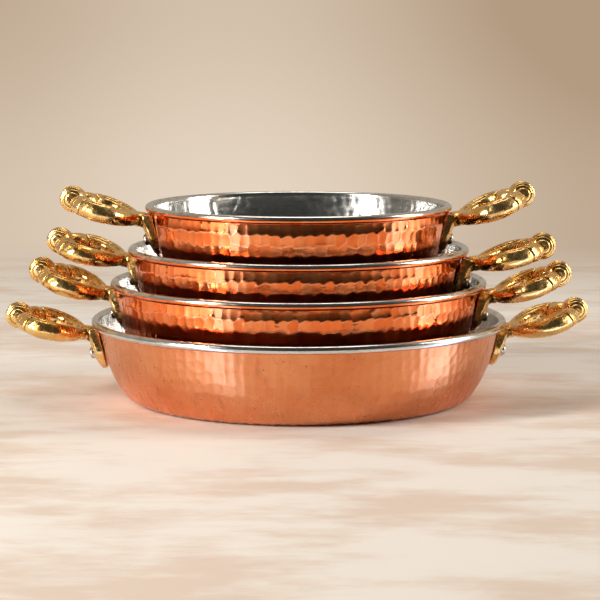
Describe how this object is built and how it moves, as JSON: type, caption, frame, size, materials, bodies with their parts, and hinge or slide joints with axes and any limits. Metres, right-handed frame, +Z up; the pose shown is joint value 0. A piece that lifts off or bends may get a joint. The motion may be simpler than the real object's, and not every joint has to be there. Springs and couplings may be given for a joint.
{
  "type": "nested set of jam pans",
  "caption": "Nested round hammered metal pans with tinned insides, rolled rims and riveted cast loop handles.",
  "frame": {"origin": "centre of the largest pan's underside, on the surface that the set stands on", "axes": "+Z up, +X towards the right-hand handles, +Y away from the pictured front"},
  "size_m": [0.31, 0.22, 0.1151],
  "materials": {
    "copper_body": "hammered copper outside, tinned inside, satin",
    "rim_wire": "plain steel wire, hidden in the rolled rim",
    "brass_handle": "polished cast brass",
    "rivet": "bright rivet, slightly dulled"
  },
  "bodies": {
    "largest_pan": {"largest_pan_body": "copper_body", "largest_pan_rim_wire": "rim_wire", "largest_pan_left_handle": "brass_handle", "largest_pan_left_rivet": "rivet", "largest_pan_right_handle": "brass_handle", "largest_pan_right_rivet": "rivet"},
    "second_pan": {"second_pan_body": "copper_body", "second_pan_rim_wire": "rim_wire", "second_pan_left_handle": "brass_handle", "second_pan_left_rivet": "rivet", "second_pan_right_handle": "brass_handle", "second_pan_right_rivet": "rivet"},
    "third_pan": {"third_pan_body": "copper_body", "third_pan_rim_wire": "rim_wire", "third_pan_left_handle": "brass_handle", "third_pan_left_rivet": "rivet", "third_pan_right_handle": "brass_handle", "third_pan_right_rivet": "rivet"},
    "smallest_pan": {"smallest_pan_body": "copper_body", "smallest_pan_rim_wire": "rim_wire", "smallest_pan_left_handle": "brass_handle", "smallest_pan_left_rivet": "rivet", "smallest_pan_right_handle": "brass_handle", "smallest_pan_right_rivet": "rivet"}
  },
  "joints": [
    {"name": "second_pan_lift", "type": "slide", "parent": "largest_pan", "child": "second_pan", "axis": [0, 0, 1], "range_m": [0, 0.05]},
    {"name": "third_pan_lift", "type": "slide", "parent": "second_pan", "child": "third_pan", "axis": [0, 0, 1], "range_m": [0, 0.07]},
    {"name": "smallest_pan_lift", "type": "slide", "parent": "third_pan", "child": "smallest_pan", "axis": [0, 0, 1], "range_m": [0, 0.085]}
  ]
}
